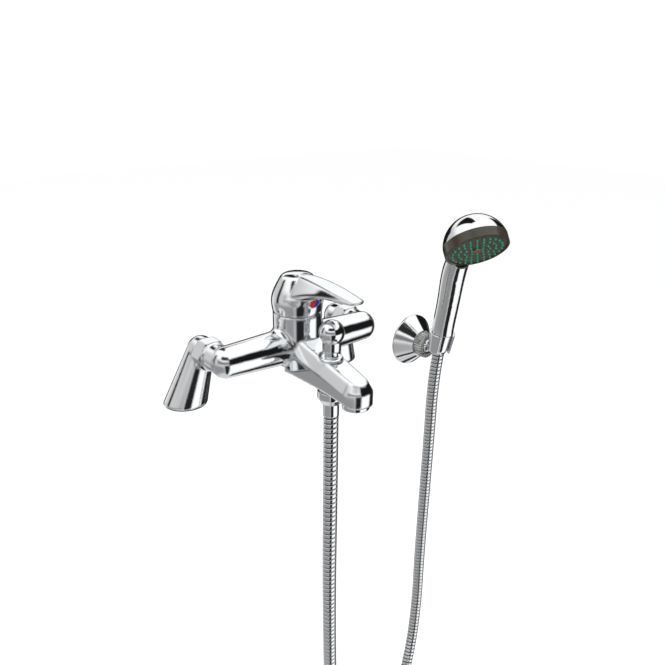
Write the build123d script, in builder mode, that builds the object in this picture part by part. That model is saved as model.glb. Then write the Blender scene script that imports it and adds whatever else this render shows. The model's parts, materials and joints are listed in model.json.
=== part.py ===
from build123d import *
from math import atan2, cos, hypot, pi, radians, sin, sqrt, tan
import os

# Bath shower mixer on two cranked legs, with its hose, hand shower and wall bracket.
# Millimetres, +Z up. X runs along the bar, +Y points to the wall, the spout points to -Y.
# The origin is midway between the two inlet holes, on the deck's top face.

os.makedirs("parts", exist_ok=True)

# Driving sizes of the mixer
inlet_spacing = 180
union_spacing = 156
bar_set_out = 54
bar_height = 54.7
elbow_reach = 40
tower_radius = 22.3
tower_top = 85.6
bar_end_radius = 13.9
bar_mid_radius = 17.2
bar_dome_length = 11
spout_reach = 82.5
spout_nose_radius = 14.4
outlet_set_out = 49.5
wall = 3
overrun = 1
fit_gap = 0.3
running_gap = 0.08

# Legs
leg_tube_radius = 12.4
leg_foot_radius = 20.3
inlet_bore_radius = 12.06
inlet_bore_depth = 10
strainer_seat_radius = 11.4
leg_bore_radius = 7.5
gasket_thickness = 1.2
gasket_inset = 0.6
strainer_thickness = 2

# Unions between the bar and the legs
union_boss_radius = 12.2
union_boss_reach = 15.5
union_collar_radius = 13.3
union_collar_length = 1.6
union_nut_flats = 26
union_nut_length = 14
union_thread_radius = 10.3
union_lip = 3.3
union_lip_radius = 9
union_spigot_radius = 8.7
union_flange_length = 2
union_washer_thickness = 2
union_bore_radius = 6.5

# Cartridge and the tower it sits in
chamber_floor = 48
chamber_radius = 17.6
thread_bore_radius = 18.6
seal_thickness = 1
cartridge_radius = chamber_radius - fit_gap
cartridge_base_height = 4
fixed_disc_height = 3
moving_disc_height = 4.8
fixed_disc_radius = 13.9
moving_disc_radius = 10
port_radius = 3
port_ring = 9
housing_height = 25
housing_neck_radius = 10.8
housing_shoulder = 12
carrier_radius = 10.5
carrier_slot_front = 8.2
carrier_slot_back = 11.5
pivot_rise = 21
pivot_height = chamber_floor + pivot_rise
pin_radius = 1.5
pin_inset = 0.6
spindle_width = 8
spindle_foot_drop = 6.6
spindle_rise = 18.4
spindle_top = tower_top + spindle_rise
spindle_ball_radius = 1.9
spindle_neck_radius = 1.4
spindle_ball_drop = 9.2
spindle_socket_radius = 2.5
retaining_nut_height = 5.6
retaining_nut_bore = 12.6
retaining_slot_width = 5
rim_inset = 0.9

# Lever
lever_gap = 0.4
lever_rise = 35.9
lever_top = tower_top + lever_rise
lever_reach = 84
lever_facet_width = 17
lever_tip_radius = 11
lever_flare_rise = 17.4
lever_flare_set_out = 7.5
lever_flare_radius = 20.5
indicator_rise = 12.9
indicator_height = tower_top + indicator_rise
indicator_radius = 4.5
indicator_depth = 1.2
indicator_stand = 0.35
grub_screw_radius = 2.4
grub_screw_length = 8

# Diverter
diverter_floor = 33
diverter_seat = 42
diverter_seat_thickness = 2
diverter_lower_radius = 7.5
diverter_upper_radius = 8.2
diverter_seat_radius = 5.6
bonnet_thread_radius = 9.3
bonnet_thread_bottom = 51
pad_height = 54.4
bonnet_flange_radius = 10.4
bonnet_bevel = 2.6
bonnet_sleeve_radius = 5.8
bonnet_sleeve_top = 62.4
stem_radius = 2.2
plunger_height = 3
plunger_clearance = 0.3
knob_gap = 0.4
knob_neck_radius = 8.2
knob_neck_height = 8.4
knob_ball_radius = 11.2
spring_wire = 0.7
spring_radius = 3.9
spring_turns = 5

# Aerator
aerator_bottom = 21.3
aerator_radius = 11.9
aerator_thread_radius = 10.3
nose_bottom = 25.6
aerator_thread_length = 8
aerator_bore = 8.6
aerator_insert_height = 7
aerator_washer_thickness = 1.5

# Shower outlet under the spout
outlet_boss_bottom = 27.1
outlet_boss_radius = 11
nipple_thread_radius = 6.4
nipple_bore = 4.4
nipple_flange_radius = 11
nipple_flange_height = 1.5
nipple_male_radius = 9.4
nipple_male_length = 6.6
hose_nut_radius = 12.3
hose_nut_straight = 6.4
hose_nut_bottom_radius = 8.2
hose_nut_bottom = 12.9
hose_washer_thickness = 1.4
ferrule_radius = 7.1
ferrule_flange_radius = 9.2
ferrule_flange_height = 1.3
ferrule_bottom = 0.8

# Hose
hose_diameter = 13.5
hose_bore = 8

# Wall bracket
bracket_x = 229.5
bracket_height = -19.5
wall_set_back = 26
flange_radius = 31
flange_rim = 1.6
flange_front_radius = 15.6
flange_wall = 2.2
flange_depth = 19
plate_radius = 22
plate_thickness = 3
hub_radius = 9
hub_wall = 2.5
screw_spacing = 28
screw_radius = 2.1
ball_radius = 10
ball_gap = 0.15
ball_set_out = 24.5
liner_thickness = 1.1
liner_width = 3.6
collar_radius = 15
collar_front = 5.8
collar_chamfer = 1.2
collar_thread_radius = 13.6
collar_thread_length = 3.5
seat_radius = 12
seat_front = 5.2
seat_back = 8.7
stud_radius = 3.5

# Holder clip and the hand shower's seat in it
clip_set_out = 51.5
clip_height = -6
holder_lean = 7.3
holder_turn = 19
holder_roll = 1.6
clip_shift = -3.3
clip_top = 11
clip_bottom = -12
clip_top_radius = 14.9
clip_bottom_radius = 12.9
clip_slot = 15.5
cone_top = 10.9
cone_bottom = -14
cone_waist = -10
cone_top_radius = 11.9
cone_waist_radius = 9.4
cone_bottom_radius = 7.3
cone_gap = 0.3

# Hand shower
handle_gap = 0.5
handle_radius = 12.4
handle_wall = 2.4
handle_top = 118
handle_bend = 14
head_radius = 34.7
head_wall = 2.4
bezel_height = 10
dome_depth = 4.7
face_height = 122.9
face_set_out = 35.3
face_angle = 47.4
nozzle_plate_radius = 31
nozzle_plate_thickness = 2.4
nozzle_radius = 1
nozzle_stand = 1.3
nozzle_rings = 4
nozzle_pitch = 6.6
cap_radius = 4.6
inlet_male_radius = 8.7

# Where the hose's middle line turns, chosen by hand, in order from the mixer to the hand shower
hose_route = [
    (0, -103.5, 0.8),
    (0, -103.5, -66.0),
    (-1.2, -103.8, -190.0),
    (2.0, -102.6, -322.0),
    (12.0, -98.8, -436.0),
    (46.0, -85.5, -524.0),
    (106.0, -62.0, -562.0),
    (170.0, -37.2, -540.0),
    (212.5, -20.6, -468.0),
    (226.8, -13.9, -392.0),
    (229.5, -10.66, -322.0),
    (229.5, -11.76, -264.5),
]
low_route = [(229.5, -11.76, -264.5), (229.5, -13.35, -182.0)]
middle_route = [(229.5, -13.35, -182.0), (229.5, -14.312, -132.0), (227.579, -16.263, -101.0)]
top_route = [(227.579, -16.263, -101.0), (224.79, -19.095, -56.0)]


def level(height, x=0, y=-bar_set_out):
    """A level plane at a height above the deck."""
    return Plane(origin=(x, y, height), x_dir=(1, 0, 0), z_dir=(0, 0, 1))


def to_wall(y, x=0, height=bar_height):
    """An upright plane that faces the wall."""
    return Plane(origin=(x, y, height), x_dir=(1, 0, 0), z_dir=(0, 1, 0))


def side_on(x=0, y=-bar_set_out, height=0):
    """An upright plane seen from +X: its own x is Y and its own y is Z."""
    return Plane(origin=(x, y, height), x_dir=(0, 1, 0), z_dir=(1, 0, 0))


def front_on(y=-bar_set_out, x=0, height=0):
    """An upright plane seen from the front: its own x is X and its own y is Z."""
    return Plane(origin=(x, y, height), x_dir=(1, 0, 0), z_dir=(0, -1, 0))


def rod(place, length, radius, mode=Mode.ADD):
    """A round bar, or a round hole, from a plane along its normal."""
    with BuildSketch(place) as outline:
        Circle(radius)
    extrude(outline.sketch, amount=length, mode=mode)


def sleeve(place, length, outer, inner, mode=Mode.ADD):
    """A round bar with a hole along it."""
    with BuildSketch(place) as outline:
        Circle(outer)
        Circle(inner, mode=Mode.SUBTRACT)
    extrude(outline.sketch, amount=length, mode=mode)


def turned(place, points, mode=Mode.ADD):
    """A closed outline turned about the plane's own y axis."""
    with BuildSketch(place) as outline:
        with BuildLine():
            Polyline(points, close=True)
        make_face()
    revolve(outline.sketch, axis=Axis(place.origin, place.y_dir), mode=mode)


def save(piece, name):
    piece.part.label = name
    export_step(piece.part, "parts/" + name + ".step")


# Spout: a run of sections with a flat top, leaning shoulders and upright sides, round at the nose in plan
spout_nose = spout_reach + spout_nose_radius
spout_round = 3.2
spout_width = 39
spout_top_width = 24
spout_root_bottom = 31.5
spout_root_shoulder = 52
spout_root_top = 66.5
nose_shoulder = 33.5
nose_top = 43.8
# How far out a section is, and how much it keeps of the root's widths and heights over the nose's
spout_shares = [
    (0.06, 1, 1, 1, 1, 1),
    (0.25, 0.92, 0.71, 0.88, 0.84, 0.84),
    (0.5, 0.83, 0.35, 0.64, 0.59, 0.56),
    (0.68, 0.79, 0.18, 0.4, 0.38, 0.36),
    (0.86, 0.73, 0.02, 0.05, 0.16, 0.16),
    (1, 0.69, 0, 0, 0, 0),
]


with BuildPart() as spout_form:
    for out, top_share, width_share, low_share, shoulder_share, high_share in spout_shares:
        half_top = spout_top_width / 2 * top_share
        half_width = spout_nose_radius + (spout_width / 2 - spout_nose_radius) * width_share
        low = nose_bottom + (spout_root_bottom - nose_bottom) * low_share
        shoulder = nose_shoulder + (spout_root_shoulder - nose_shoulder) * shoulder_share
        high = nose_top + (spout_root_top - nose_top) * high_share
        corners = [(half_top, high), (half_width, shoulder), (half_width, low)]
        with BuildSketch(front_on(-bar_set_out - out * spout_nose)) as section:
            with BuildLine():
                Polyline(*corners, *[(-x, z) for x, z in reversed(corners)], close=True)
            make_face()
            fillet(section.vertices(), spout_round)
    loft()
    with BuildSketch(side_on(y=-bar_set_out - spout_reach)) as nose_outline:
        with BuildLine():
            nose_side = [(spout_nose_radius, 0), (spout_nose_radius, nose_shoulder + spout_round)]
            nose_crown = [(spout_top_width / 3, spout_root_shoulder - spout_round), (0, spout_root_shoulder)]
            Polyline((0, 0), *nose_side, *nose_crown, close=True)
        make_face()
        nose_middle = -bar_set_out - spout_reach
        rim = nose_outline.vertices().filter_by(lambda v: v.Y > nose_middle + overrun and v.Z > overrun)
        fillet(rim, 2 * spout_round)
    nose_axis = Axis((0, -bar_set_out - spout_reach, 0), (0, 0, 1))
    nose_form = revolve(nose_outline.sketch, axis=nose_axis, mode=Mode.PRIVATE)
    with BuildSketch(level(0)) as neck_plan:
        with Locations((0, -spout_reach / 2)):
            Rectangle(2 * spout_width, spout_reach)
    neck_form = extrude(neck_plan.sketch, amount=tower_top, mode=Mode.PRIVATE)
    add(nose_form + neck_form, mode=Mode.INTERSECT)
print("spout form", spout_form.part.is_valid, len(spout_form.solids()), round(spout_form.part.volume))

half_union = union_spacing / 2
outlet_y = -bar_set_out - outlet_set_out

# Body: bar, tower and spout in one casting, with its waterways
tower_bottom = 34
tower_low_round = 10
bar_fillet = 7
bar_bore = 8
bar_bore_end = 26
feed_drop_set_out = 24
feed_radius = 3
feed_height = 44
mixed_height = 37.8
mixed_radius = 3.8
spout_way_radius = 3.4
spout_way_start = 50
spout_way_end = 36
nose_chamber_top = 38
aerator_seat_top = 35.2
lever_sphere = hypot(tower_radius - rim_inset, tower_top - pivot_height)
bevel_drop = sqrt(lever_sphere ** 2 - tower_radius ** 2)
with BuildPart() as mixer_body:
    with BuildSketch(front_on(height=bar_height)):
        with BuildLine():
            dome_x = half_union + bar_dome_length * cos(radians(45))
            dome_z = bar_end_radius * sin(radians(45))
            dome_end = (-half_union - bar_dome_length, 0)
            ThreePointArc(dome_end, (-dome_x, dome_z), (-half_union, bar_end_radius))
            Polyline((-half_union, bar_end_radius), (0, bar_mid_radius), (half_union, bar_end_radius))
            ThreePointArc((half_union, bar_end_radius), (dome_x, dome_z), (half_union + bar_dome_length, 0))
            Line((half_union + bar_dome_length, 0), (-half_union - bar_dome_length, 0))
        make_face()
    revolve(axis=Axis((0, -bar_set_out, bar_height), (1, 0, 0)))
    with BuildSketch(side_on()):
        with BuildLine():
            Line((0, tower_bottom), (tower_radius - tower_low_round, tower_bottom))
            RadiusArc(
                (tower_radius - tower_low_round, tower_bottom),
                (tower_radius, tower_bottom + tower_low_round),
                -tower_low_round,
            )
            Polyline(
                (tower_radius, tower_bottom + tower_low_round),
                (tower_radius, pivot_height + bevel_drop),
                (tower_radius - rim_inset, tower_top),
                (0, tower_top),
                (0, tower_bottom),
            )
        make_face()
    revolve(axis=Axis((0, -bar_set_out, 0), (0, 0, 1)))
    shoulders = mixer_body.edges().filter_by(
        lambda e: abs(hypot(e.center().X, e.center().Y + bar_set_out) - tower_radius) < wall
        and e.geom_type != GeomType.CIRCLE
        and e.length > tower_radius
    )
    fillet(shoulders, bar_fillet)
    add(spout_form.part)
    rod(level(outlet_boss_bottom, y=outlet_y), diverter_floor - outlet_boss_bottom, outlet_boss_radius)
    for side in (-1, 1):
        x = side * half_union
        rod(to_wall(-bar_set_out, x), union_boss_reach, union_boss_radius)
        collar_end = union_boss_reach + union_collar_length
        rod(to_wall(-bar_set_out + union_boss_reach, x), union_collar_length, union_collar_radius)
        nut_start = collar_end + fit_gap
        rod(to_wall(-bar_set_out + collar_end, x), fit_gap + union_lip, union_spigot_radius)
        rod(to_wall(-bar_set_out + nut_start + union_lip, x), union_flange_length, union_thread_radius)
    # Openings: chamber, feeds, diverter bore, spout way and aerator seat
    rod(level(chamber_floor), tower_top, chamber_radius, Mode.SUBTRACT)
    nut_bottom = chamber_floor + seal_thickness + cartridge_base_height + housing_height
    rod(level(nut_bottom), tower_top, thread_bore_radius, Mode.SUBTRACT)
    for side in (-1, 1):
        x = side * half_union
        rod(to_wall(-bar_set_out, x), elbow_reach, union_bore_radius, Mode.SUBTRACT)
        bar_bore_line = Plane(origin=(side * bar_bore_end, -bar_set_out, bar_height), z_dir=(side, 0, 0))
        rod(bar_bore_line, half_union - bar_bore_end, bar_bore, Mode.SUBTRACT)
        feed_drop = level(feed_height, x=side * feed_drop_set_out)
        rod(feed_drop, bar_height - feed_height, feed_radius, Mode.SUBTRACT)
        feed_line = Plane(
            origin=(side * (feed_drop_set_out + feed_radius), -bar_set_out, feed_height), z_dir=(-side, 0, 0)
        )
        rod(feed_line, feed_drop_set_out + feed_radius - port_ring, feed_radius, Mode.SUBTRACT)
        port_place = level(feed_height, x=side * port_ring, y=-bar_set_out)
        rod(port_place, chamber_floor - feed_height + overrun, feed_radius, Mode.SUBTRACT)
    mixed_drop = level(mixed_height, y=-bar_set_out - port_ring)
    rod(mixed_drop, chamber_floor - mixed_height + overrun, feed_radius, Mode.SUBTRACT)
    mixed_line = front_on(-bar_set_out - port_ring + mixed_radius, height=mixed_height)
    rod(mixed_line, outlet_set_out - port_ring + mixed_radius, mixed_radius, Mode.SUBTRACT)
    nipple_hole = level(outlet_boss_bottom - overrun, y=outlet_y)
    nipple_hole_depth = diverter_floor - outlet_boss_bottom + overrun
    rod(nipple_hole, nipple_hole_depth, nipple_thread_radius + running_gap, Mode.SUBTRACT)
    seat_rise = diverter_seat - diverter_floor
    rod(level(diverter_floor, y=outlet_y), seat_rise, diverter_lower_radius, Mode.SUBTRACT)
    seat_top = diverter_seat + diverter_seat_thickness
    rod(level(diverter_seat, y=outlet_y), diverter_seat_thickness, diverter_seat_radius, Mode.SUBTRACT)
    rod(level(seat_top, y=outlet_y), tower_top, diverter_upper_radius, Mode.SUBTRACT)
    bonnet_hole = level(bonnet_thread_bottom, y=outlet_y)
    rod(bonnet_hole, tower_top, bonnet_thread_radius + running_gap, Mode.SUBTRACT)
    rod(level(pad_height, y=outlet_y), tower_top, bonnet_flange_radius + fit_gap, Mode.SUBTRACT)
    nose_y = -bar_set_out - spout_reach
    aerator_hole_depth = aerator_seat_top - nose_bottom + overrun
    aerator_hole_radius = aerator_thread_radius + running_gap
    rod(level(nose_bottom - overrun, y=nose_y), aerator_hole_depth, aerator_hole_radius, Mode.SUBTRACT)
    chamber_depth = nose_chamber_top - aerator_seat_top + overrun
    rod(level(aerator_seat_top - overrun, y=nose_y), chamber_depth, aerator_bore, Mode.SUBTRACT)
    way_start = Vector(0, outlet_y, spout_way_start)
    way_end = Vector(0, nose_y, spout_way_end)
    way = Plane(origin=way_start, z_dir=way_end - way_start)
    rod(way, (way_end - way_start).length, spout_way_radius, Mode.SUBTRACT)
print("mixer_body", mixer_body.part.is_valid, len(mixer_body.solids()), round(mixer_body.part.volume))
save(mixer_body, "mixer_body")


# Legs: an elbow with a threaded end, a flared leg and a threaded foot
elbow_y = -bar_set_out + elbow_reach
union_face = union_boss_reach + union_collar_length + fit_gap + union_lip + union_flange_length
leg_shoulder_gap = 0.6
leg_shoulder = union_boss_reach + union_collar_length + fit_gap + union_nut_length + leg_shoulder_gap
leg_neck_trim = 0.2
nut_corner_radius = union_nut_flats / 2 / cos(radians(30))
for side, word in ((-1, "left"), (1, "right")):
    x = side * half_union
    foot_x = side * inlet_spacing / 2
    elbow = Vector(x, elbow_y, bar_height)
    foot = Vector(foot_x, 0, gasket_thickness)
    thread_start = -bar_set_out + union_face + union_washer_thickness
    with BuildPart() as leg:
        with BuildSketch(Plane(origin=elbow, x_dir=(1, 0, 0), z_dir=elbow - foot)):
            Circle(leg_tube_radius - leg_neck_trim)
        with BuildSketch(level(gasket_thickness, foot_x, 0)):
            Circle(leg_foot_radius)
        loft()
        with Locations(elbow):
            Sphere(leg_tube_radius)
        rod(to_wall(-bar_set_out + leg_shoulder, x), elbow_reach - leg_shoulder, leg_tube_radius)
        rod(to_wall(thread_start, x), elbow_y - thread_start, union_thread_radius)
        rod(to_wall(thread_start, x), elbow_y - thread_start, leg_bore_radius, Mode.SUBTRACT)
        with Locations(elbow):
            Sphere(leg_bore_radius, mode=Mode.SUBTRACT)
        seat_top_of_inlet = foot + Vector(0, 0, inlet_bore_depth - overrun)
        run = Plane(origin=elbow, x_dir=(1, 0, 0), z_dir=seat_top_of_inlet - elbow)
        rod(run, (seat_top_of_inlet - elbow).length, leg_bore_radius, Mode.SUBTRACT)
        rod(level(gasket_thickness, foot_x, 0), inlet_bore_depth, inlet_bore_radius, Mode.SUBTRACT)
        seat_height = inlet_bore_depth + strainer_thickness
        rod(level(gasket_thickness, foot_x, 0), seat_height, strainer_seat_radius, Mode.SUBTRACT)
        nut_room = -bar_set_out + leg_shoulder - thread_start
        nut_clearance = nut_corner_radius + fit_gap
        sleeve(to_wall(thread_start, x), nut_room, nut_clearance, union_thread_radius, Mode.SUBTRACT)
    print(word, "leg", leg.part.is_valid, len(leg.solids()))
    save(leg, word + "_leg")

    with BuildPart() as gasket:
        sleeve(level(0, foot_x, 0), gasket_thickness, leg_foot_radius - gasket_inset, inlet_bore_radius)
    save(gasket, word + "_foot_gasket")

    strainer_radius = strainer_seat_radius - running_gap
    strainer_hole = 0.9
    strainer_pitch = 3
    with BuildPart() as strainer:
        strainer_place = level(gasket_thickness + inlet_bore_depth, foot_x, 0)
        with BuildSketch(strainer_place):
            Circle(strainer_radius)
            for ring in (1, 2):
                with PolarLocations(ring * strainer_pitch, 6 * ring):
                    Circle(strainer_hole, mode=Mode.SUBTRACT)
        extrude(amount=strainer_thickness)
    save(strainer, word + "_inlet_strainer")

    with BuildPart() as union_washer:
        sleeve(
            to_wall(-bar_set_out + union_face, x),
            union_washer_thickness,
            union_thread_radius - fit_gap,
            leg_bore_radius,
        )
    save(union_washer, word + "_union_washer")

    nut_start = -bar_set_out + union_boss_reach + union_collar_length + fit_gap
    nut_chamfer_angle = 30
    with BuildPart() as union_nut:
        with BuildSketch(to_wall(nut_start, x)):
            RegularPolygon(union_nut_flats / 2, 6, major_radius=False)
        extrude(amount=union_nut_length)
        corner_radius = nut_corner_radius
        corner_drop = (corner_radius - union_nut_flats / 2) * tan(radians(nut_chamfer_angle))
        nut_back = nut_start + union_nut_length
        with BuildSketch(Plane(origin=(x, 0, bar_height), x_dir=(1, 0, 0), z_dir=(0, 0, 1))):
            with BuildLine():
                Polyline(
                    (0, nut_start),
                    (union_nut_flats / 2, nut_start),
                    (corner_radius, nut_start + corner_drop),
                    (corner_radius, nut_back - corner_drop),
                    (union_nut_flats / 2, nut_back),
                    (0, nut_back),
                    close=True,
                )
            make_face()
        revolve(axis=Axis((x, 0, bar_height), (0, 1, 0)), mode=Mode.INTERSECT)
        rod(to_wall(nut_start, x), union_nut_length, union_lip_radius, Mode.SUBTRACT)
        rod(
            to_wall(nut_start + union_lip, x),
            union_nut_length,
            union_thread_radius + fit_gap,
            Mode.SUBTRACT,
        )
    print("nut", union_nut.part.is_valid, len(union_nut.solids()))
    save(union_nut, word + "_union_nut")

# Cartridge: seals, ported base, fixed and moving ceramic discs, housing, carrier, pin and spindle
base_bottom = chamber_floor + seal_thickness
disc_bottom = base_bottom + cartridge_base_height
ports = [(-port_ring, 0), (port_ring, 0), (0, -port_ring)]
seal_width = 1.4
with BuildPart() as cartridge_seals:
    with BuildSketch(level(chamber_floor)):
        with Locations(ports):
            Circle(port_radius + seal_width)
            Circle(port_radius, mode=Mode.SUBTRACT)
    extrude(amount=seal_thickness)
save(cartridge_seals, "cartridge_seals")

with BuildPart() as cartridge_base:
    with BuildSketch(level(base_bottom)):
        Circle(cartridge_radius)
        with Locations(ports):
            Circle(port_radius, mode=Mode.SUBTRACT)
    extrude(amount=cartridge_base_height)
save(cartridge_base, "cartridge_base")

with BuildPart() as fixed_disc:
    with BuildSketch(level(disc_bottom)):
        Circle(fixed_disc_radius)
        with Locations(ports):
            Circle(port_radius, mode=Mode.SUBTRACT)
    extrude(amount=fixed_disc_height)
save(fixed_disc, "fixed_ceramic_disc")

disc_film = 0.1
moving_bottom = disc_bottom + fixed_disc_height + disc_film
moving_top = moving_bottom + moving_disc_height
recess_depth = 1
recess_width = 16
recess_back = 3.2
recess_set_back = 4.9
tongue_width = 5
tongue_length = 10.4
socket_floor = pivot_height - spindle_ball_drop - spindle_ball_radius - fit_gap
with BuildPart() as moving_disc:
    rod(level(moving_bottom), moving_disc_height, moving_disc_radius)
    rod(level(socket_floor), moving_disc_height, spindle_socket_radius, Mode.SUBTRACT)
    with BuildSketch(level(moving_bottom, y=-bar_set_out + recess_set_back)):
        Rectangle(recess_width, recess_back)
        with Locations((0, recess_back / 2 - tongue_length / 2)):
            Rectangle(tongue_width, tongue_length)
    extrude(amount=recess_depth, mode=Mode.SUBTRACT)
print("moving disc", moving_disc.part.is_valid, len(moving_disc.solids()))
save(moving_disc, "moving_ceramic_disc")

housing_cavity_radius = fixed_disc_radius + fit_gap
with BuildPart() as cartridge_housing:
    sleeve(level(disc_bottom), housing_height, cartridge_radius, housing_neck_radius)
    rod(level(disc_bottom), housing_shoulder, housing_cavity_radius, Mode.SUBTRACT)
save(cartridge_housing, "cartridge_housing")

carrier_bottom = moving_top + fit_gap
carrier_flange_radius = housing_cavity_radius - fit_gap
carrier_top = disc_bottom + housing_height
carrier_flange_top = disc_bottom + housing_shoulder - fit_gap
with BuildPart() as cartridge_carrier:
    rod(level(carrier_bottom), carrier_flange_top - carrier_bottom, carrier_flange_radius)
    rod(level(carrier_bottom), carrier_top - carrier_bottom, carrier_radius)
    with BuildSketch(level(carrier_bottom, y=-bar_set_out + (carrier_slot_back - carrier_slot_front) / 2)):
        Rectangle(spindle_width + 2 * fit_gap, carrier_slot_back + carrier_slot_front)
    extrude(amount=carrier_top - carrier_bottom, mode=Mode.SUBTRACT)
    pin_line = Plane(origin=(-carrier_radius, -bar_set_out, pivot_height), z_dir=(1, 0, 0))
    rod(pin_line, 2 * carrier_radius, pin_radius, Mode.SUBTRACT)
print("carrier", cartridge_carrier.part.is_valid, len(cartridge_carrier.solids()))
save(cartridge_carrier, "cartridge_carrier")

with BuildPart() as carrier_pin:
    pin_half = carrier_radius - pin_inset
    rod(Plane(origin=(-pin_half, -bar_set_out, pivot_height), z_dir=(1, 0, 0)), 2 * pin_half, pin_radius)
save(carrier_pin, "spindle_pin")

with BuildPart() as spindle:
    with BuildSketch(level(pivot_height - spindle_foot_drop)):
        Rectangle(spindle_width, spindle_width)
    extrude(amount=spindle_top - pivot_height + spindle_foot_drop)
    ball_level = pivot_height - spindle_ball_drop
    rod(level(ball_level), spindle_ball_drop - spindle_foot_drop + overrun, spindle_neck_radius)
    with Locations((0, -bar_set_out, ball_level)):
        Sphere(spindle_ball_radius)
    rod(pin_line, 2 * carrier_radius, pin_radius + running_gap, Mode.SUBTRACT)
print("spindle", spindle.part.is_valid, len(spindle.solids()))
save(spindle, "lever_spindle")

with BuildPart() as retaining_nut:
    sleeve(level(carrier_top), retaining_nut_height, thread_bore_radius - fit_gap, retaining_nut_bore)
    with BuildSketch(level(carrier_top + retaining_nut_height / 2)):
        with PolarLocations(thread_bore_radius, 4):
            Rectangle(2 * retaining_slot_width, retaining_slot_width)
    extrude(amount=retaining_nut_height, mode=Mode.SUBTRACT)
print("retaining nut", retaining_nut.part.is_valid, len(retaining_nut.solids()))
save(retaining_nut, "cartridge_nut")

# Lever: a bulged skirt under a dome, with a paddle out over the spout
lever_bottom = tower_top + lever_gap
bulge = 1.2
bulge_height = 94
dome_start = 101
dome_shoulder_radius = 16.8
dome_shoulder_height = lever_top - 6.9
rim_flare_share = 0.2
# Each section's set-out, width below, facet's width, foot and top, as shares of the lever's own sizes
paddle_shares = [
    (0.05, 0.97, 0.47, 0.37, 0.992),
    (0.24, 0.87, 0.88, 0.48, 0.99),
    (0.43, 0.73, 0.97, 0.63, 0.965),
    (0.64, 0.56, 1, 0.705, 0.914),
    (0.83, 0.42, 0.92, 0.725, 0.852),
    (1, 0.3, 0.77, 0.74, 0.8),
]
paddle_round_share = 0.2
flare_foot_radius = tower_radius - wall
flare_growth = lever_flare_set_out + lever_flare_radius - flare_foot_radius
flare_share = (indicator_rise - lever_gap) / (lever_flare_rise - lever_gap)
flare_tilt = atan2(flare_growth, lever_flare_rise - lever_gap)
indicator_face = flare_foot_radius + flare_growth * flare_share


def on_indicator(depth):
    """A plane behind the indicator's seat on the flare, facing out and a little down."""
    face = Plane(
        origin=(0, -bar_set_out - indicator_face, indicator_height),
        x_dir=(1, 0, 0),
        z_dir=(0, -cos(flare_tilt), -sin(flare_tilt)),
    )
    return face.offset(-depth)


cavity_radius = lever_sphere + fit_gap
spindle_hole = spindle_width + 2 * running_gap
with BuildPart() as lever_handle:
    for out, below_share, facet_share, low_share, high_share in paddle_shares:
        below = tower_radius * below_share
        facet = lever_facet_width / 2 * facet_share
        low = tower_top + lever_rise * low_share
        high = tower_top + lever_rise * high_share
        with BuildSketch(front_on(-bar_set_out - out * lever_reach)) as section:
            with BuildLine():
                Polyline((facet, high), (below, low), (-below, low), (-facet, high), close=True)
            make_face()
            fillet(section.vertices(), (high - low) * paddle_round_share)
    loft()
    with BuildSketch(level(0)):
        with Locations((0, lever_tip_radius - lever_reach)):
            Circle(lever_tip_radius)
        with Locations((0, (lever_tip_radius - lever_reach) / 2)):
            Rectangle(2 * tower_radius, lever_reach - lever_tip_radius)
    extrude(amount=2 * lever_top, mode=Mode.INTERSECT)
    with BuildSketch(side_on()):
        with BuildLine():
            Line((0, lever_bottom), (tower_radius, lever_bottom))
            Spline(
                (tower_radius, lever_bottom),
                (tower_radius + bulge, bulge_height),
                (tower_radius + bulge / 2, dome_start),
                (dome_shoulder_radius, dome_shoulder_height),
                (0, lever_top),
                tangents=((rim_flare_share, 1), (-1, 0)),
            )
            Line((0, lever_top), (0, lever_bottom))
        make_face()
    revolve(axis=Axis((0, -bar_set_out, 0), (0, 0, 1)))
    with Locations((0, -bar_set_out, pivot_height)):
        Sphere(cavity_radius, mode=Mode.SUBTRACT)
    # The flare under the paddle that carries the indicator
    with BuildPart(mode=Mode.PRIVATE) as flare:
        with BuildSketch(level(lever_bottom)):
            Circle(flare_foot_radius)
        with BuildSketch(level(tower_top + lever_flare_rise, y=-bar_set_out - lever_flare_set_out)):
            Circle(lever_flare_radius)
        loft(ruled=True)
        with Locations((0, -bar_set_out, pivot_height)):
            Sphere(cavity_radius, mode=Mode.SUBTRACT)
    add(flare.part)
    with BuildSketch(level(pivot_height)):
        Rectangle(spindle_hole, spindle_hole)
    extrude(amount=spindle_top + fit_gap - pivot_height, mode=Mode.SUBTRACT)
    screw_line = front_on(height=indicator_height)
    rod(screw_line, lever_reach / 2, grub_screw_radius, Mode.SUBTRACT)
    rod(on_indicator(indicator_depth), 2 * indicator_depth, indicator_radius + running_gap, Mode.SUBTRACT)
print("lever", lever_handle.part.is_valid, len(lever_handle.solids()), round(lever_handle.part.volume))
save(lever_handle, "lever_handle")

with BuildPart() as grub_screw:
    screw_start = front_on(-bar_set_out - spindle_width / 2, height=indicator_height)
    rod(screw_start, grub_screw_length, grub_screw_radius - running_gap)
save(grub_screw, "lever_grub_screw")

for side, word in ((-1, "hot_mark"), (1, "cold_mark")):
    with BuildPart() as mark:
        rod(on_indicator(indicator_depth), indicator_depth + indicator_stand, indicator_radius)
        with BuildSketch(on_indicator(indicator_depth)):
            with Locations((side * indicator_radius, 0)):
                Rectangle(2 * indicator_radius, 2 * indicator_radius)
        extrude(amount=indicator_depth * 2, mode=Mode.INTERSECT)
    save(mark, word)


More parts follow.
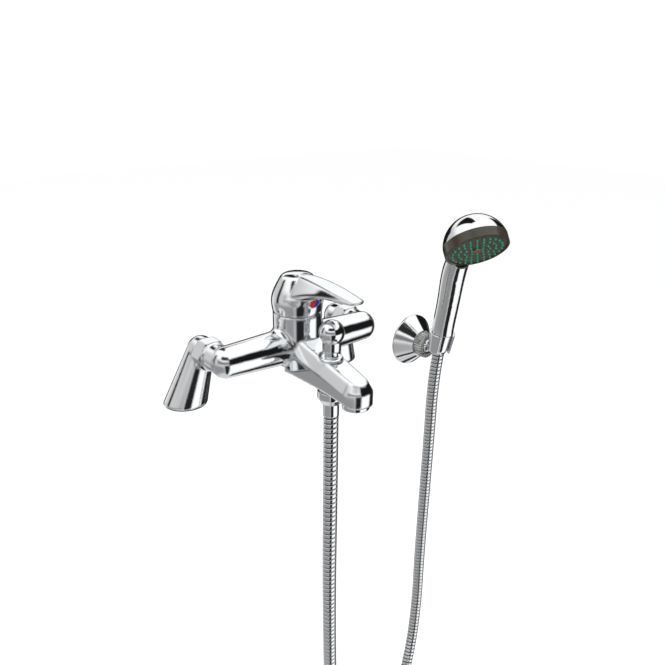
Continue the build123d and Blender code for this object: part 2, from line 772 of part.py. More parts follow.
# Diverter: bonnet, stem, plunger, spring, o-ring and the knob that is pulled up
bonnet_top = bonnet_sleeve_top
bonnet_ring_gap = 1.2
o_ring_width = 1.2
o_ring_height = 1.6
o_ring_floor = bonnet_top - o_ring_height - bonnet_ring_gap
with BuildPart() as bonnet:
    turned(
        side_on(y=outlet_y),
        [
            (0, bonnet_thread_bottom),
            (bonnet_thread_radius, bonnet_thread_bottom),
            (bonnet_thread_radius, pad_height),
            (bonnet_flange_radius, pad_height),
            (bonnet_flange_radius, pad_height + bonnet_bevel / 2),
            (bonnet_flange_radius - bonnet_bevel / 2, pad_height + bonnet_bevel),
            (bonnet_sleeve_radius, pad_height + bonnet_bevel),
            (bonnet_sleeve_radius, bonnet_top),
            (0, bonnet_top),
        ],
    )
    rod(level(bonnet_thread_bottom, y=outlet_y), bonnet_top, stem_radius + running_gap, Mode.SUBTRACT)
    rod(level(o_ring_floor, y=outlet_y), o_ring_height, stem_radius + o_ring_width, Mode.SUBTRACT)
print("bonnet", bonnet.part.is_valid, len(bonnet.solids()))
save(bonnet, "diverter_bonnet")

with BuildPart() as o_ring:
    o_ring_place = level(o_ring_floor, y=outlet_y)
    sleeve(o_ring_place, o_ring_height, stem_radius + o_ring_width, stem_radius + running_gap)
save(o_ring, "diverter_o_ring")

plunger_bottom = diverter_floor + plunger_clearance
plunger_top = plunger_bottom + plunger_height
knob_bottom = bonnet_top + knob_gap
knob_ball_height = knob_bottom + knob_neck_height + sqrt(knob_ball_radius ** 2 - knob_neck_radius ** 2)
stem_socket_top = knob_ball_height
with BuildPart() as stem:
    stem_foot = plunger_bottom + plunger_height / 2
    rod(level(stem_foot, y=outlet_y), stem_socket_top - stem_foot, stem_radius)
save(stem, "diverter_stem")

with BuildPart() as plunger:
    rod(level(plunger_bottom, y=outlet_y), plunger_height, diverter_lower_radius - plunger_clearance)
    rod(level(stem_foot, y=outlet_y), plunger_height, stem_radius, Mode.SUBTRACT)
save(plunger, "diverter_plunger")

with BuildPart() as knob:
    rod(level(knob_bottom, y=outlet_y), knob_ball_height - knob_bottom, knob_neck_radius)
    with Locations((0, outlet_y, knob_ball_height)):
        Sphere(knob_ball_radius)
    rod(level(knob_bottom, y=outlet_y), stem_socket_top - knob_bottom, stem_radius, Mode.SUBTRACT)
print("knob", knob.part.is_valid, len(knob.solids()), knob_ball_height)
save(knob, "diverter_knob")

spring_seat = plunger_top
spring_top = bonnet_thread_bottom
spring_height = spring_top - spring_seat - spring_wire
with BuildPart() as spring:
    with BuildLine() as coil:
        spring_foot = (0, outlet_y, spring_seat + spring_wire / 2)
        Helix(spring_height / spring_turns, spring_height, spring_radius, center=spring_foot)
    with BuildSketch(Plane(origin=coil.line @ 0, z_dir=coil.line % 0)):
        Circle(spring_wire / 2)
    sweep(path=coil.line)
print("spring", spring.part.is_valid, len(spring.solids()))
save(spring, "diverter_spring")

# Aerator in the nose of the spout
aerator_lip = 1
aerator_lip_inset = 1.2
aerator_hole = 0.7
aerator_pitch = 2.2
aerator_rings = 3
with BuildPart() as aerator_housing:
    aerator_top = nose_bottom + aerator_thread_length
    aerator_ring_height = nose_bottom - fit_gap - aerator_bottom
    sleeve(level(aerator_bottom, y=nose_y), aerator_ring_height, aerator_radius, aerator_bore)
    sleeve(level(aerator_bottom, y=nose_y), aerator_top - aerator_bottom, aerator_thread_radius, aerator_bore)
    sleeve(level(aerator_bottom, y=nose_y), aerator_lip, aerator_bore, aerator_bore - aerator_lip_inset)
print("aerator", aerator_housing.part.is_valid, len(aerator_housing.solids()))
save(aerator_housing, "aerator_housing")

with BuildPart() as aerator_insert:
    with BuildSketch(level(aerator_bottom + aerator_lip, y=nose_y)):
        Circle(aerator_bore - fit_gap)
        Circle(aerator_hole, mode=Mode.SUBTRACT)
        for ring in range(1, aerator_rings + 1):
            with PolarLocations(ring * aerator_pitch, 6 * ring):
                Circle(aerator_hole, mode=Mode.SUBTRACT)
    extrude(amount=aerator_insert_height)
save(aerator_insert, "aerator_insert")

with BuildPart() as aerator_washer:
    washer_bottom = aerator_top
    washer_radius = aerator_thread_radius - fit_gap
    sleeve(level(washer_bottom, y=nose_y), aerator_seat_top - washer_bottom, washer_radius, aerator_bore)
save(aerator_washer, "aerator_washer")

# Shower outlet: nipple in the body, nut, washer and ferrule on the hose
nipple_thread_top = diverter_floor - fit_gap
nipple_shoulder = outlet_boss_bottom - nipple_flange_height
nipple_bottom = nipple_shoulder - nipple_male_length
with BuildPart() as nipple:
    rod(level(nipple_bottom, y=outlet_y), nipple_male_length, nipple_male_radius)
    rod(level(nipple_shoulder, y=outlet_y), nipple_flange_height, nipple_flange_radius)
    rod(level(outlet_boss_bottom, y=outlet_y), nipple_thread_top - outlet_boss_bottom, nipple_thread_radius)
    rod(level(nipple_bottom, y=outlet_y), tower_top, nipple_bore, Mode.SUBTRACT)
save(nipple, "shower_outlet_nipple")

ferrule_flange_top = nipple_bottom - hose_washer_thickness
nut_seat = ferrule_flange_top - ferrule_flange_height
hose_nut_top = nipple_shoulder - fit_gap
with BuildPart() as hose_nut:
    turned(
        side_on(y=outlet_y),
        [
            (0, hose_nut_bottom),
            (hose_nut_bottom_radius, hose_nut_bottom),
            (hose_nut_radius, hose_nut_top - hose_nut_straight),
            (hose_nut_radius, hose_nut_top),
            (0, hose_nut_top),
        ],
    )
    rod(level(hose_nut_bottom, y=outlet_y), hose_nut_top, ferrule_radius + fit_gap, Mode.SUBTRACT)
    rod(level(nut_seat, y=outlet_y), hose_nut_top, nipple_male_radius + fit_gap, Mode.SUBTRACT)
print("hose nut", hose_nut.part.is_valid, len(hose_nut.solids()))
save(hose_nut, "hose_nut")

with BuildPart() as hose_washer:
    sleeve(level(ferrule_flange_top, y=outlet_y), hose_washer_thickness, ferrule_flange_radius, nipple_bore)
save(hose_washer, "hose_nut_washer")

hose_radius = hose_diameter / 2
with BuildPart() as ferrule:
    rod(level(ferrule_bottom, y=outlet_y), nut_seat - ferrule_bottom, ferrule_radius)
    rod(level(nut_seat, y=outlet_y), ferrule_flange_height, ferrule_flange_radius)
    rod(level(ferrule_bottom, y=outlet_y), tower_top, hose_bore / 2, Mode.SUBTRACT)
save(ferrule, "hose_ferrule")


# Wall bracket: plate with its hub, flange, seat, liner and collar round a ball
wall_y = wall_set_back
plate_front = wall_y - plate_thickness
ball_y = wall_y - ball_set_out
ball_centre = Vector(bracket_x, ball_y, bracket_height)
flange_front = wall_y - flange_depth
hub_end = ball_y + seat_back


def bracket_plane(y):
    """A plane on the bracket's axis, facing away from the wall."""
    return front_on(y, bracket_x, bracket_height)


with BuildPart() as wall_plate:
    rod(bracket_plane(wall_y), plate_thickness, plate_radius)
    rod(bracket_plane(plate_front), plate_front - hub_end, hub_radius)
    rod(bracket_plane(wall_y), wall_y - hub_end, hub_radius - hub_wall, Mode.SUBTRACT)
    with BuildSketch(bracket_plane(wall_y)):
        with Locations((0, screw_spacing / 2), (0, -screw_spacing / 2)):
            Circle(screw_radius)
    extrude(amount=plate_thickness, mode=Mode.SUBTRACT)
print("wall plate", wall_plate.part.is_valid, len(wall_plate.solids()))
save(wall_plate, "bracket_wall_plate")

cup_radius = ball_radius + ball_gap + liner_thickness + ball_gap
web_back = hub_end + wall
with BuildPart() as wall_flange:
    place = Plane(origin=(bracket_x, 0, bracket_height), x_dir=(1, 0, 0), z_dir=(0, 0, 1))
    rim = flange_radius - flange_wall
    turned(
        place,
        [
            (0, wall_y),
            (flange_radius, wall_y),
            (flange_radius, wall_y - flange_rim),
            (flange_front_radius, flange_front),
            (0, flange_front),
        ],
    )
    turned(
        place,
        [
            (0, wall_y),
            (rim, wall_y),
            (rim, wall_y - flange_rim),
            (flange_front_radius + flange_wall, web_back),
            (0, web_back),
        ],
        Mode.SUBTRACT,
    )
    rod(bracket_plane(flange_front), collar_thread_length, collar_thread_radius)
    rod(bracket_plane(hub_end), wall_y, seat_radius, Mode.SUBTRACT)
    rod(bracket_plane(web_back), wall_y, hub_radius + running_gap, Mode.SUBTRACT)
print("wall flange", wall_flange.part.is_valid, len(wall_flange.solids()))
save(wall_flange, "bracket_flange")

with BuildPart() as ball_seat:
    sleeve(bracket_plane(hub_end), seat_back - seat_front, seat_radius - fit_gap / 2, hub_radius - hub_wall)
    with Locations(ball_centre):
        Sphere(ball_radius + ball_gap, mode=Mode.SUBTRACT)
print("ball seat", ball_seat.part.is_valid, len(ball_seat.solids()))
save(ball_seat, "bracket_ball_seat")

with BuildPart() as ball_liner:
    with Locations(ball_centre):
        Sphere(cup_radius - ball_gap)
    slab = bracket_plane(ball_y + liner_width / 2)
    rod(slab, liner_width, collar_radius, Mode.INTERSECT)
    with Locations(ball_centre):
        Sphere(ball_radius + ball_gap, mode=Mode.SUBTRACT)
print("ball liner", ball_liner.part.is_valid, len(ball_liner.solids()))
save(ball_liner, "bracket_ball_liner")

collar_back = flange_front - fit_gap
with BuildPart() as collar:
    rod(bracket_plane(collar_back), collar_back - ball_y + collar_front, collar_radius)
    with Locations(ball_centre):
        Sphere(cup_radius, mode=Mode.SUBTRACT)
    thread_end = flange_front - collar_thread_length - fit_gap
    thread_room = collar_thread_radius + running_gap
    rod(bracket_plane(collar_back), collar_back - thread_end, thread_room, Mode.SUBTRACT)
    chamfer(collar.faces().sort_by(Axis.Y)[0].outer_wire().edges(), collar_chamfer)
print("collar", collar.part.is_valid, len(collar.solids()))
save(collar, "bracket_collar")

# Seat of the hand shower: a frame on the holder's axis
lean = radians(holder_lean)
turn = radians(holder_turn)
clip_y = wall_y - clip_set_out
roll = radians(holder_roll)
seat_axis = Vector(sin(roll), -sin(lean), cos(lean)).normalized()
seat_side = Vector(cos(turn), -sin(turn), 0)
seat_side = (seat_side - seat_axis * seat_side.dot(seat_axis)).normalized()
seat = Plane(origin=(bracket_x + clip_shift, clip_y, clip_height), x_dir=seat_side, z_dir=seat_axis)
print("seat", seat.origin, seat.z_dir)


def on_seat(height, x=0, y=0, normal=(0, 0, 1), x_dir=(1, 0, 0)):
    """A plane in the frame of the hand shower's seat."""
    return Plane(seat.location * Plane(origin=(x, y, height), x_dir=x_dir, z_dir=normal).location)


cone_slope = (cone_top_radius - cone_waist_radius) / (cone_top - cone_waist)


def cone_radius(height):
    """Radius of the cone nut at a height along the seat's axis."""
    return cone_waist_radius + cone_slope * (height - cone_waist)


stud_reach = seat.origin - ball_centre
stud_line = Plane(origin=ball_centre, x_dir=(1, 0, 0), z_dir=stud_reach)
clip_inner = cone_gap
with BuildPart() as holder_clip:
    with BuildSketch(on_seat(clip_bottom)):
        Circle(clip_bottom_radius)
    with BuildSketch(on_seat(clip_top)):
        Circle(clip_top_radius)
    loft()
    rod(stud_line, stud_reach.length - clip_bottom_radius - overrun, stud_radius)
    with Locations(ball_centre):
        Sphere(ball_radius)
    with BuildSketch(on_seat(clip_bottom)) as bore_low:
        Circle(cone_radius(clip_bottom) + clip_inner)
    with BuildSketch(on_seat(clip_top)) as bore_high:
        Circle(cone_radius(clip_top) + clip_inner)
    loft([bore_low.sketch, bore_high.sketch], mode=Mode.SUBTRACT)
    with BuildSketch(on_seat(clip_bottom - overrun)):
        with Locations((0, -clip_top_radius)):
            Rectangle(clip_slot, 2 * clip_top_radius)
    extrude(amount=clip_top - clip_bottom + 2 * overrun, mode=Mode.SUBTRACT)
print("clip", holder_clip.part.is_valid, len(holder_clip.solids()))
save(holder_clip, "holder_clip")

# Cone nut, its washer, and the hand shower
with BuildPart() as cone_nut:
    with BuildSketch(on_seat(cone_bottom)) as ring_low:
        Circle(cone_bottom_radius)
    with BuildSketch(on_seat(cone_waist)) as ring_waist:
        Circle(cone_waist_radius)
    with BuildSketch(on_seat(cone_top)) as ring_top:
        Circle(cone_top_radius)
    loft([ring_low.sketch, ring_waist.sketch], ruled=True)
    loft([ring_waist.sketch, ring_top.sketch], ruled=True)
    rod(on_seat(-hose_washer_thickness), cone_top * 2, inlet_male_radius + fit_gap / 2, Mode.SUBTRACT)
    rod(on_seat(cone_bottom), cone_top * 2, hose_bore / 2, Mode.SUBTRACT)
print("cone nut", cone_nut.part.is_valid, len(cone_nut.solids()))
save(cone_nut, "hose_cone_nut")

with BuildPart() as top_washer:
    sleeve(on_seat(-hose_washer_thickness), hose_washer_thickness, inlet_male_radius, nipple_bore)
save(top_washer, "cone_nut_washer")

handle_bottom = cone_top + handle_gap
plug_length = 9
with BuildPart() as inlet:
    rod(on_seat(0), handle_bottom + overrun / 2, inlet_male_radius)
    rod(on_seat(handle_bottom), plug_length, handle_radius - handle_wall - 3 * fit_gap)
    rod(on_seat(0), handle_bottom + plug_length, nipple_bore, Mode.SUBTRACT)
print("inlet", inlet.part.is_valid, len(inlet.solids()))
save(inlet, "handle_inlet")

# Height, lean to the front and radius of the handle's sections, as shares of its top, bend and radius
handle_section_shares = [
    (handle_bottom / handle_top, 0, 1),
    (0.3, -0.04, 1.016),
    (0.55, -0.06, 1.05),
    (0.76, 0, 1.08),
    (0.915, 0.43, 1.01),
    (1, 1, 0.89),
]
handle_sections = [
    (height * handle_top, -lean_share * handle_bend, size * handle_radius)
    for height, lean_share, size in handle_section_shares
]
face_lean = radians(face_angle)
face_normal = (0, -sin(face_lean), -cos(face_lean))


def on_face(depth, x=0):
    """A plane behind the spray face, along the face's own axis."""
    face = Plane(origin=(0, -face_set_out, face_height), x_dir=(1, 0, 0), z_dir=face_normal)
    return Plane(seat.location * face.offset(-depth).location)


dome_centre = on_face(dome_depth)
with BuildPart() as shell:
    for height, y, radius in handle_sections:
        with BuildSketch(on_seat(height, y=y)):
            Circle(radius)
    loft()
    with Locations(dome_centre.location):
        Sphere(head_radius)
    rod(on_face(bezel_height), 2 * head_radius, head_radius + fit_gap, Mode.SUBTRACT)
    with Locations(dome_centre.location):
        Sphere(head_radius - head_wall, mode=Mode.SUBTRACT)
    hollows = []
    for height, y, radius in handle_sections:
        with BuildSketch(on_seat(height, y=y)) as hollow:
            Circle(radius - handle_wall)
        hollows.append(hollow.sketch)
    loft(hollows, mode=Mode.SUBTRACT)
print("shell", shell.part.is_valid, len(shell.solids()), round(shell.part.volume))
save(shell, "hand_shower_shell")

bezel_inset = 0.6
bezel_back_radius = sqrt(head_radius ** 2 - (bezel_height - dome_depth) ** 2)
bezel_lip = 3.2
bezel_opening = 29
with BuildPart() as bezel:
    with BuildSketch(on_face(0)) as ring_front:
        Circle(head_radius - bezel_inset)
    with BuildSketch(on_face(bezel_height)) as ring_back:
        Circle(bezel_back_radius)
    loft([ring_back.sketch, ring_front.sketch], ruled=True)
    rod(on_face(bezel_height), bezel_height * 2, bezel_opening, Mode.SUBTRACT)
    rod(on_face(bezel_lip), bezel_height, nozzle_plate_radius + fit_gap, Mode.SUBTRACT)
    plate_room = bezel_height - bezel_lip - nozzle_plate_thickness
    rod(on_face(bezel_height), plate_room, nozzle_plate_radius + fit_gap, Mode.SUBTRACT)
print("bezel", bezel.part.is_valid, len(bezel.solids()))
save(bezel, "spray_bezel")

nozzle_spots = [
    (ring * nozzle_pitch * cos(2 * pi * k / (6 * ring)), ring * nozzle_pitch * sin(2 * pi * k / (6 * ring)))
    for ring in range(1, nozzle_rings + 1)
    for k in range(6 * ring)
]
plate_front_depth = 0.8
mat_thickness = 1.5
nozzle_hole_gap = 0.15
plate_back_depth = plate_front_depth + nozzle_plate_thickness
mat_back_depth = plate_back_depth + mat_thickness
screw_hole_radius = 1.6
with BuildPart() as nozzle_plate:
    with BuildSketch(on_face(plate_back_depth)):
        Circle(nozzle_plate_radius)
        with Locations(nozzle_spots):
            Circle(nozzle_radius + nozzle_hole_gap, mode=Mode.SUBTRACT)
        Circle(screw_hole_radius, mode=Mode.SUBTRACT)
    extrude(amount=nozzle_plate_thickness)
print("nozzle plate", nozzle_plate.part.is_valid, len(nozzle_plate.solids()))
save(nozzle_plate, "nozzle_plate")

with BuildPart() as nozzle_mat:
    with BuildSketch(on_face(mat_back_depth)):
        Circle(bezel_opening - fit_gap)
        Circle(screw_hole_radius, mode=Mode.SUBTRACT)
    extrude(amount=mat_thickness)
    with BuildSketch(on_face(plate_back_depth)):
        with Locations(nozzle_spots):
            Circle(nozzle_radius)
    extrude(amount=plate_back_depth + nozzle_stand)
print("nozzle mat", nozzle_mat.part.is_valid, len(nozzle_mat.solids()))
save(nozzle_mat, "nozzle_mat")

cap_height = 1.6
cap_screw_length = 8
with BuildPart() as centre_cap:
    rod(on_face(plate_front_depth), cap_height, cap_radius)
    chamfer(centre_cap.faces().sort_by(Axis.Z)[0].outer_wire().edges(), cap_height / 4)
print("centre cap", centre_cap.part.is_valid, len(centre_cap.solids()))
save(centre_cap, "spray_centre_cap")

with BuildPart() as cap_screw:
    rod(on_face(plate_front_depth + cap_screw_length), cap_screw_length, screw_hole_radius - running_gap)
save(cap_screw, "spray_face_screw")

back_plate_radius = 30.5
back_plate_thickness = 2
back_plate_front = bezel_height
with BuildPart() as back_plate:
    rod(on_face(back_plate_front + back_plate_thickness), back_plate_thickness, back_plate_radius)
print("back plate", back_plate.part.is_valid, len(back_plate.solids()))
save(back_plate, "spray_back_plate")


# Waterway tube from the handle's inlet to the back plate
waterway_outer = 3.1
waterway_inner = 2.2
waterway_bends = (6, 5)
waterway_route = [(0, 0, 107.9), (0, -11.6, 118.5), (0, -18.4, 117)]
with BuildPart() as waterway:
    with BuildLine(on_seat(0)) as waterway_line:
        FilletPolyline(
            (0, 0, handle_bottom + plug_length),
            *waterway_route,
            radius=waterway_bends,
        )
    for radius, mode in ((waterway_outer, Mode.ADD), (waterway_inner, Mode.SUBTRACT)):
        with BuildSketch(Plane(origin=waterway_line.line @ 0, z_dir=waterway_line.line % 0)) as ring:
            Circle(radius)
        sweep(ring.sketch, path=waterway_line.line, mode=mode)
    rod(on_face(back_plate_front + back_plate_thickness), head_radius, head_radius, Mode.SUBTRACT)
print("waterway", waterway.part.is_valid, len(waterway.solids()), waterway.part.bounding_box().max.Z)
save(waterway, "handle_waterway")

# Hose: straight runs joined by arcs, with ribs along them
rib_pitch = 6.3
rib_valley = 0.75
rib_shares = (0, 0.3, 0.5, 0.8)


def hose_path(route):
    """The hose's middle line through a route, with arcs as large as the runs allow."""
    points = [Vector(*point) for point in route]
    runs = [b - a for a, b in zip(points, points[1:])]
    radii = []
    for before, after in zip(runs, runs[1:]):
        shorter = min(before.length, after.length)
        radii.append(0.45 * shorter / tan(radians(before.get_angle(after)) / 2))
    print("runs", [round(run.length) for run in runs])
    print("radii", [round(radius) for radius in radii])
    with BuildLine() as line:
        if radii:
            FilletPolyline(*points, radius=radii)
        else:
            Line(*points)
    return line.wire()


def hose_stretch(route, name):
    """A ribbed hose along a route, with its bore."""
    path = hose_path(route)
    length = path.length
    side = (Vector(*route[-1]) - Vector(*route[0])).cross(Vector(0, 0, 1))
    side = side.normalized() if side.length > hose_radius else Vector(1, 0, 0)
    ribs = int((length - hose_diameter) / rib_pitch)
    lead = (length - ribs * rib_pitch) / 2
    stops = [(0, hose_radius - rib_valley)]
    for rib in range(ribs):
        start = lead + rib * rib_pitch
        for share, radius in zip(rib_shares, (-rib_valley, 0, 0, -rib_valley)):
            stops.append((start + share * rib_pitch, hose_radius + radius))
    stops.append((length, hose_radius - rib_valley))
    with BuildPart() as stretch:
        for distance, radius in stops:
            tangent = path.tangent_at(distance / length)
            steady = (side - tangent * side.dot(tangent)).normalized()
            with BuildSketch(Plane(origin=path.position_at(distance / length), x_dir=steady, z_dir=tangent)):
                Circle(radius)
        loft(ruled=True)
        with BuildSketch(Plane(origin=path @ 0, x_dir=side, z_dir=path % 0)) as bore:
            Circle(hose_bore / 2)
        sweep(bore.sketch, path=path, mode=Mode.SUBTRACT)
    print(name, stretch.part.is_valid, len(stretch.solids()), ribs, "ribs", round(length, 1), "mm")
    plain_volume = pi * (hose_radius ** 2 - (hose_bore / 2) ** 2) * length
    print("volume", round(stretch.part.volume), "plain tube", round(plain_volume))
    save(stretch, name)
    return ribs


hose_end = on_seat(cone_bottom).origin
ribs = 0
ribs += hose_stretch(hose_route, "shower_hose")
ribs += hose_stretch(low_route, "hose_top_lower")
ribs += hose_stretch(middle_route, "hose_top_middle")
ribs += hose_stretch([*top_route, tuple(hose_end)], "hose_top_upper")
print("ribs in all", ribs)
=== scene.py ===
# %% [markdown]
# # A chrome bath shower mixer
# This lesson dresses a bath shower mixer: a bar on two cranked legs, a lever, a diverter, a ribbed hose
# and a hand shower in its wall holder. Nearly everything is polished chrome, and chrome has no colour of
# its own: it shows the room. So the most important "material" here is the studio that it mirrors.

# %% Load the fixed frame
import bpy
import bmesh
import json
from bisect import bisect
from math import cos, pi, radians, sin
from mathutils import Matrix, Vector


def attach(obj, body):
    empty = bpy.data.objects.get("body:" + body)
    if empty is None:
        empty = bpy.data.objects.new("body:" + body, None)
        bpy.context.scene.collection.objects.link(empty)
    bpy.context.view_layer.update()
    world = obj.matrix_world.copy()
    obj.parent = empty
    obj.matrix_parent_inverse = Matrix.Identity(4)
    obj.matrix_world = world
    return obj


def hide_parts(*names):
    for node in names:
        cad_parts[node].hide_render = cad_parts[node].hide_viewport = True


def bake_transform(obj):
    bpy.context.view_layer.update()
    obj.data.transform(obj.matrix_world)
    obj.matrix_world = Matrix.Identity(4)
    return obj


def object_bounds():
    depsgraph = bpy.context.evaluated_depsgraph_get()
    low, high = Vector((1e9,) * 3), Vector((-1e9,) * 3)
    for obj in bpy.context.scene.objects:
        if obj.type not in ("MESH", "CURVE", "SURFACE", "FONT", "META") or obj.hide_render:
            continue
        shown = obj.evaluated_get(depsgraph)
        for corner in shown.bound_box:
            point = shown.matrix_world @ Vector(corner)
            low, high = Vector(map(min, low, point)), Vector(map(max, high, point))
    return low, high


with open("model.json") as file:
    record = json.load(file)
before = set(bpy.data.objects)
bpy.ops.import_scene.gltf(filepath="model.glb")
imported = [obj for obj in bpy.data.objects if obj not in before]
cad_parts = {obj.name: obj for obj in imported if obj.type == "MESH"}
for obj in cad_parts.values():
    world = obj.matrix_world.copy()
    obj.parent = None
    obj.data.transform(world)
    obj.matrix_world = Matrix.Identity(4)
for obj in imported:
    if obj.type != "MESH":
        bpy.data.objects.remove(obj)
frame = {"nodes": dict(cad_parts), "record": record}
nodes = frame["nodes"]
MM = 0.001


def corners(box):
    """A box as plain lists of numbers."""
    return [[round(number, 6) for number in corner] for corner in box]


cad_box = corners(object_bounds())
print("CAD box in metres:", cad_box)

# %% [markdown]
# ## Helpers
# Colours are written as the hex values of a paint program. Cycles wants linear light, so one function
# turns them. A second one adds a shader node with its settings and its links, which keeps every
# material below short enough to read.

# %% Colour and node helpers
def linear(hex_colour):
    """An sRGB hex colour as linear red, green, blue and alpha."""
    channels = [int(hex_colour[i:i + 2], 16) / 255 for i in (1, 3, 5)]
    return [c / 12.92 if c <= 0.04045 else ((c + 0.055) / 1.055) ** 2.4 for c in channels] + [1]


def add(tree, kind, inputs=None, **settings):
    """A new node: settings are its own properties, inputs are values or sockets to link."""
    made = tree.nodes.new("ShaderNode" + kind)
    for key, value in settings.items():
        setattr(made, key, value)
    for key, value in (inputs or {}).items():
        if isinstance(value, bpy.types.NodeSocket):
            tree.links.new(value, made.inputs[key])
        else:
            made.inputs[key].default_value = value
    return made


def material(name):
    """A material with a node tree, and its principled shader."""
    made = bpy.data.materials.new(name)
    made.use_nodes = True
    return made, made.node_tree, made.node_tree.nodes["Principled BSDF"]


# %% [markdown]
# ## The camera
# The place of the camera was solved from the two feet, the bar, the spout and the hand shower, so the
# view matches the photograph. A small shift moves the optical centre to where it was in the picture.

# %% Camera at the photograph's angle
CAMERA_PLACE = Vector((-348.3, -534.7, 284.2)) * MM
CAMERA_AIM = Vector((23.35, -54, 48.21)) * MM
PICTURE = 665
FOCAL_PIXELS = 693.65
OPTICAL_CENTRE = (317.89, 343.37)
SENSOR = 36
NEAREST_SEEN = 10 * MM

lens = bpy.data.cameras.new("camera")
lens.sensor_width = SENSOR
lens.lens = FOCAL_PIXELS / PICTURE * SENSOR
lens.shift_x = (PICTURE / 2 - OPTICAL_CENTRE[0]) / PICTURE
lens.shift_y = (OPTICAL_CENTRE[1] - PICTURE / 2) / PICTURE
lens.clip_start = NEAREST_SEEN
camera = bpy.data.objects.new("camera", lens)
camera.location = CAMERA_PLACE
camera.rotation_euler = (CAMERA_AIM - CAMERA_PLACE).to_track_quat("-Z", "Y").to_euler()
bpy.context.scene.collection.objects.link(camera)
bpy.context.scene.camera = camera
bpy.context.scene.view_settings.view_transform = "Standard"
print("lens", round(lens.lens, 2), "mm, shift", round(lens.shift_x, 4), round(lens.shift_y, 4))

# %% [markdown]
# ## The studio that the chrome mirrors
# A product photographer lights chrome with big white boards and a few black ones, because a mirror
# with nothing dark to show looks like milk glass. The world here holds those boards: a white ceiling,
# a black strip along the horizon, and narrow black boards that draw the upright dark lines on legs,
# tower and hose. Only mirrors see the boards; other rays see an even pale light, and the camera sees white.

# %% World with boards that only mirrors see
world = bpy.data.worlds.new("studio")
bpy.context.scene.world = world
world.use_nodes = True
sky = world.node_tree
sky.nodes.clear()
TO_CAMERA = Vector((-0.612, -0.791, 0))
TO_RIGHT = Vector((0.791, -0.612, 0))
direction = add(sky, "TexCoord").outputs["Generated"]
height = add(sky, "SeparateXYZ", {"Vector": direction}).outputs["Z"]
elevation = add(sky, "Math", {0: height}, operation="ARCSINE").outputs[0]
ahead = add(sky, "VectorMath", {0: direction, 1: TO_CAMERA}, operation="DOT_PRODUCT").outputs["Value"]
aside = add(sky, "VectorMath", {0: direction, 1: TO_RIGHT}, operation="DOT_PRODUCT").outputs["Value"]
azimuth = add(sky, "Math", {0: aside, 1: ahead}, operation="ARCTAN2").outputs[0]


def between(value, low, high, soft):
    """1 where an angle lies between two limits in degrees, with soft edges."""
    rise = add(sky, "MapRange", {"Value": value, "From Min": radians(low - soft),
                                 "From Max": radians(low + soft)},
               interpolation_type="SMOOTHSTEP").outputs["Result"]
    fall = add(sky, "MapRange", {"Value": value, "From Min": radians(high - soft),
                                 "From Max": radians(high + soft), "To Min": 1, "To Max": 0},
               interpolation_type="SMOOTHSTEP").outputs["Result"]
    return add(sky, "Math", {0: rise, 1: fall}, operation="MULTIPLY").outputs[0]


def board(under, shade, sides, heights, soft=2.0, strength=1.0):
    """Hang a board of one shade in front of what is there, between two azimuths and two elevations."""
    where = add(sky, "Math", {0: between(azimuth, *sides, soft), 1: between(elevation, *heights, soft)},
                operation="MULTIPLY").outputs[0]
    part = add(sky, "Math", {0: where, 1: strength}, operation="MULTIPLY").outputs[0]
    return add(sky, "Mix", {0: part, "A": under, "B": shade}, data_type="FLOAT").outputs[0]


STRAIGHT_DOWN = radians(-90)
HIGH_UP = radians(70)
LOW_SHADE = 0.7
HIGH_SHADE = 1.35
base = add(sky, "MapRange", {"Value": elevation, "From Min": STRAIGHT_DOWN, "From Max": HIGH_UP,
                             "To Min": LOW_SHADE, "To Max": HIGH_SHADE}).outputs["Result"]
# shade, azimuths from the camera towards its right, elevations, softness of the edges, all in degrees:
# grey to the left, high and low; a white card low on the right, and a black one that draws the upright
# stripes; black beyond it; the black band along the bar; black behind, for dark outlines; a thin black
# post on the left; black over the back, for the edges of lever and spout; black over the camera; a grey
# strip at the camera's height
BOARDS = [
    (0.70, (-150, -40), (-5, 26), 9),
    (0.34, (-120, -8), (-60, -8), 14),
    (1.25, (38, 92), (-80, -10), 4),
    (0.02, (-5, 34), (-75, -5), 2.5),
    (0.02, (98, 150), (-75, -2), 4),
    (0.01, (30, 150), (-8, 35), 2),
    (0.01, (150, 190), (-40, 15), 3),
    (0.01, (-190, -140), (-40, 15), 3),
    (0.02, (-101, -86), (-12, 34), 2.5),
    (0.01, (-175, -138), (30, 72), 3),
    (0.03, (-40, 36), (31, 56), 4),
    (0.25, (-62, 30), (0, 20), 6),
]
shown = base
for shade, sides, heights, soft in BOARDS:
    shown = board(shown, shade, sides, heights, soft)
AMBIENT = 0.9
path = add(sky, "LightPath")
mirror = add(sky, "Math", {0: path.outputs["Is Glossy Ray"], 1: path.outputs["Is Transmission Ray"]},
             operation="MAXIMUM").outputs[0]
even = add(sky, "Mix", {0: path.outputs["Is Camera Ray"], "A": AMBIENT, "B": 1.0}, data_type="FLOAT").outputs[0]
level = add(sky, "Mix", {0: mirror, "A": even, "B": shown}, data_type="FLOAT").outputs[0]
light = add(sky, "Background", {"Color": (1, 1, 1, 1), "Strength": level})
add(sky, "OutputWorld", {"Surface": light.outputs[0]})
print("boards in the studio:", len(BOARDS))

